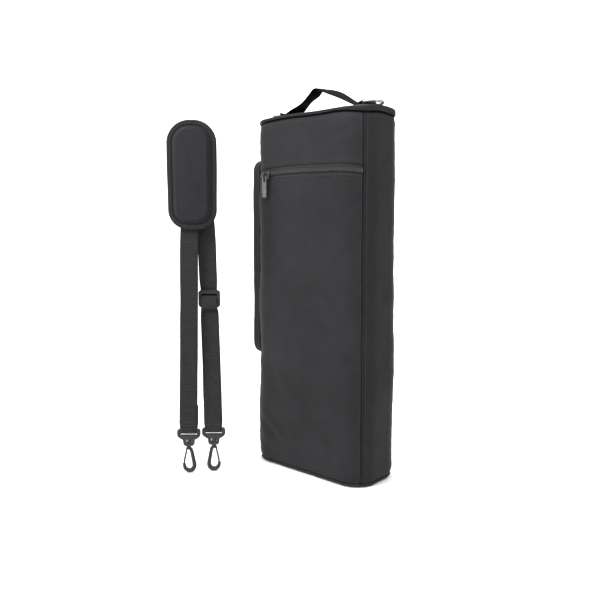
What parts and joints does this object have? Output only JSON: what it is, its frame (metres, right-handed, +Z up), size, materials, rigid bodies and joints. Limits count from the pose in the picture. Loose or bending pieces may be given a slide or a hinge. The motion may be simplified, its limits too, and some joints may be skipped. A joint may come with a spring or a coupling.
{
  "type": "carry bag with shoulder strap",
  "caption": "Tall soft zip-top carry bag with front and side zip pockets, a webbing grab handle and a detached padded shoulder strap with swivel hooks.",
  "frame": {"origin": "centre of the bag's base, on the surface it stands on", "axes": "+Z up through the bag, front face towards -Y, +X to the right seen from the front"},
  "size_m": [0.1949, 0.18, 0.4374],
  "materials": {
    "shell_fabric": "matt woven",
    "webbing": "ribbed matt",
    "zip_tape": "satin",
    "foam": "matt",
    "lining": "satin",
    "moulded_plastic": "fine texture",
    "plated_metal": "satin plated",
    "board": "matt"
  },
  "bodies": {
    "bag": {"front_pocket_panel": "shell_fabric", "front_upper_panel": "shell_fabric", "back_panel": "shell_fabric", "right_gusset": "shell_fabric", "left_gusset": "shell_fabric", "front_left_piping": "webbing", "front_right_piping": "webbing", "back_right_piping": "webbing", "back_left_piping": "webbing", "pocket_zip_tape_upper": "zip_tape", "pocket_zip_tape_lower": "zip_tape", "pocket_zip_coil": "zip_tape", "pocket_backing": "lining", "foam_front": "foam", "foam_back": "foam", "foam_right": "foam", "foam_left": "foam", "lining_walls": "lining", "base_panel": "shell_fabric", "base_piping": "webbing", "base_board": "board", "base_foam": "foam", "lining_floor": "lining", "body_zip_tape": "zip_tape", "body_zip_coil": "zip_tape", "back_hinge_strip": "shell_fabric", "side_pocket_shell": "shell_fabric", "side_pocket_zip_coil": "zip_tape"},
    "lid": {"lid_zip_coil": "zip_tape", "lid_side_band": "shell_fabric", "lid_top_panel": "shell_fabric", "lid_foam": "foam", "lid_lining": "lining", "left_ring_tab": "webbing", "right_ring_tab": "webbing", "left_handle_foot": "webbing", "right_handle_foot": "webbing"},
    "handle": {"grab_handle": "webbing"},
    "left_ring": {"left_d_ring": "plated_metal"},
    "right_ring": {"right_d_ring": "plated_metal"},
    "pocket_slider": {"pocket_zip_slider": "plated_metal"},
    "pocket_pull": {"pocket_zip_pull": "plated_metal"},
    "lid_slider": {"lid_zip_slider": "plated_metal"},
    "lid_pull": {"lid_zip_pull": "plated_metal"},
    "side_slider": {"side_pocket_zip_slider": "plated_metal"},
    "side_pull": {"side_pocket_zip_pull": "plated_metal"},
    "strap": {"strap_webbing": "webbing", "left_hook_frame": "moulded_plastic", "right_hook_frame": "moulded_plastic"},
    "shoulder_pad": {"pad_backing": "webbing", "pad_cushion": "webbing"},
    "adjuster": {"length_adjuster": "moulded_plastic"},
    "left_hook": {"left_hook_body": "moulded_plastic", "left_swivel_pin": "moulded_plastic"},
    "right_hook": {"right_hook_body": "moulded_plastic", "right_swivel_pin": "moulded_plastic"},
    "left_gate": {"left_hook_gate": "moulded_plastic"},
    "right_gate": {"right_hook_gate": "moulded_plastic"}
  },
  "joints": [
    {"name": "lid_hinge", "type": "hinge", "parent": "bag", "child": "lid", "pos_m": [0, 0.0392, 0.4029], "axis": [-1, 0, 0], "range_deg": [0, 110]},
    {"name": "handle_fold", "type": "hinge", "parent": "lid", "child": "handle", "pos_m": [0, 0, 0.4158], "axis": [1, 0, 0], "range_deg": [-18, 18]},
    {"name": "left_ring_lift", "type": "hinge", "parent": "lid", "child": "left_ring", "pos_m": [-0.0612, 0, 0.4125], "axis": [0, 1, 0], "range_deg": [0, 110]},
    {"name": "right_ring_lift", "type": "hinge", "parent": "lid", "child": "right_ring", "pos_m": [0.0612, 0, 0.4125], "axis": [0, -1, 0], "range_deg": [0, 110]},
    {"name": "pocket_zip_run", "type": "slide", "parent": "bag", "child": "pocket_slider", "axis": [1, 0, 0], "range_m": [-0.01, 0.114]},
    {"name": "pocket_pull_swing", "type": "hinge", "parent": "pocket_slider", "child": "pocket_pull", "pos_m": [-0.054, -0.0431, 0.3387], "axis": [1, 0, 0], "range_deg": [-115, 0]},
    {"name": "lid_zip_run", "type": "slide", "parent": "bag", "child": "lid_slider", "axis": [0, -1, 0], "range_m": [0, 0.018]},
    {"name": "lid_pull_swing", "type": "hinge", "parent": "lid_slider", "child": "lid_pull", "pos_m": [-0.0871, 0.0095, 0.4017], "axis": [0, -1, 0], "range_deg": [-115, 0]},
    {"name": "side_zip_run", "type": "slide", "parent": "bag", "child": "side_slider", "axis": [0, 0, -1], "range_m": [0, 0.19]},
    {"name": "side_pull_swing", "type": "hinge", "parent": "side_slider", "child": "side_pull", "pos_m": [-0.0998, 0.0118, 0.3407], "axis": [0, -1, 0], "range_deg": [-115, 0]},
    {"name": "strap_lift", "type": "slide", "parent": "bag", "child": "strap", "axis": [0, 0, 1], "range_m": [0, 0.3]},
    {"name": "pad_slide", "type": "slide", "parent": "strap", "child": "shoulder_pad", "axis": [0, 0, -1], "range_m": [0, 0.08]},
    {"name": "adjuster_slide", "type": "slide", "parent": "strap", "child": "adjuster", "axis": [0.0147, 0.0133, -0.9998], "range_m": [-0.05, 0.06]},
    {"name": "left_hook_swivel", "type": "hinge", "parent": "strap", "child": "left_hook", "pos_m": [-0.09971, -0.1224, 0.0325], "axis": [0, 0, 1], "continuous": true},
    {"name": "right_hook_swivel", "type": "hinge", "parent": "strap", "child": "right_hook", "pos_m": [-0.08253, -0.09993, 0.0325], "axis": [0, 0, 1], "continuous": true},
    {"name": "left_gate_spring", "type": "hinge", "parent": "left_hook", "child": "left_gate", "pos_m": [-0.10298, -0.12534, 0.0282], "axis": [0.6691, -0.7431, 0], "range_deg": [0, 24], "stiffness_Nm_per_rad": 0.05, "springref_deg": -6.88},
    {"name": "right_gate_spring", "type": "hinge", "parent": "right_hook", "child": "right_gate", "pos_m": [-0.07927, -0.09699, 0.0282], "axis": [-0.6691, 0.7431, 0], "range_deg": [0, 24], "stiffness_Nm_per_rad": 0.05, "springref_deg": -6.88}
  ]
}
